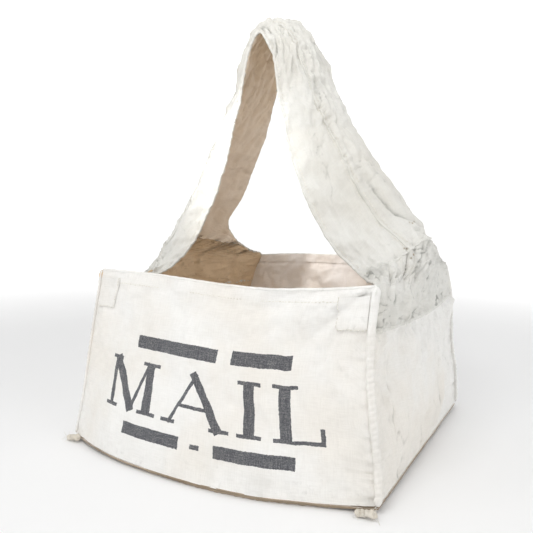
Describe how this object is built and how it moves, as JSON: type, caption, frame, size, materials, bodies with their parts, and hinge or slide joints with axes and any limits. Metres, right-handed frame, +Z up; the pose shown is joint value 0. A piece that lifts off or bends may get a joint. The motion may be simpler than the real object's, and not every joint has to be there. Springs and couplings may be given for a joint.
{
  "type": "newspaper carrier bag",
  "caption": "Open-topped box-shaped canvas shoulder bag with gathered yokes over its ends and a wide curled strap that arches over the mouth.",
  "frame": {"origin": "on the floor under the middle of the bag's bounding box", "axes": "+X along the bag's width, to the right as seen from its printed front; -Y out of the printed front; +Z up"},
  "size_m": [0.442, 0.454, 0.5741],
  "materials": {
    "canvas": "worn plain-weave cotton canvas, off-white, with grey dirt in its creases and worn dark ink on the front",
    "base_canvas": "plain-weave cotton canvas, soiled tan",
    "strap_canvas": "worn plain-weave cotton canvas, wrinkled, greyish",
    "lining": "unwashed side of cotton canvas, tan",
    "frayed_canvas": "rolled and frayed cotton canvas",
    "thread": "cotton sewing thread"
  },
  "bodies": {
    "bag": {"front_panel": "canvas", "back_panel": "canvas", "base_panel": "base_canvas", "left_gusset": "canvas", "right_gusset": "canvas", "left_yoke": "canvas", "right_yoke": "canvas", "front_hem": "canvas", "back_hem": "canvas", "front_left_corner_seam": "canvas", "front_right_corner_seam": "canvas", "back_left_corner_seam": "canvas", "back_right_corner_seam": "canvas", "front_left_lap": "canvas", "front_right_lap": "canvas", "back_left_lap": "canvas", "back_right_lap": "canvas", "front_base_seam": "canvas", "back_base_seam": "canvas", "left_base_seam": "canvas", "right_base_seam": "canvas", "left_seam_tail": "frayed_canvas", "right_seam_tail": "frayed_canvas", "front_hem_stitching": "thread", "back_hem_stitching": "thread"},
    "strap_lower": {"left_strap_band": "strap_canvas", "right_strap_band": "strap_canvas", "left_strap_lining": "lining", "right_strap_lining": "lining", "left_strap_seam": "strap_canvas", "right_strap_seam": "strap_canvas"},
    "strap_upper": {"crown_band": "strap_canvas", "crown_lining": "lining", "crown_seam": "strap_canvas"}
  },
  "joints": [
    {"name": "strap_swing", "type": "hinge", "parent": "bag", "child": "strap_lower", "pos_m": [0, 0, 0.33], "axis": [1, 0, 0], "range_deg": [-80, 80]},
    {"name": "strap_fold", "type": "hinge", "parent": "strap_lower", "child": "strap_upper", "pos_m": [0, -0.01618, 0.475], "axis": [1, 0, 0], "range_deg": [-60, 60]}
  ]
}
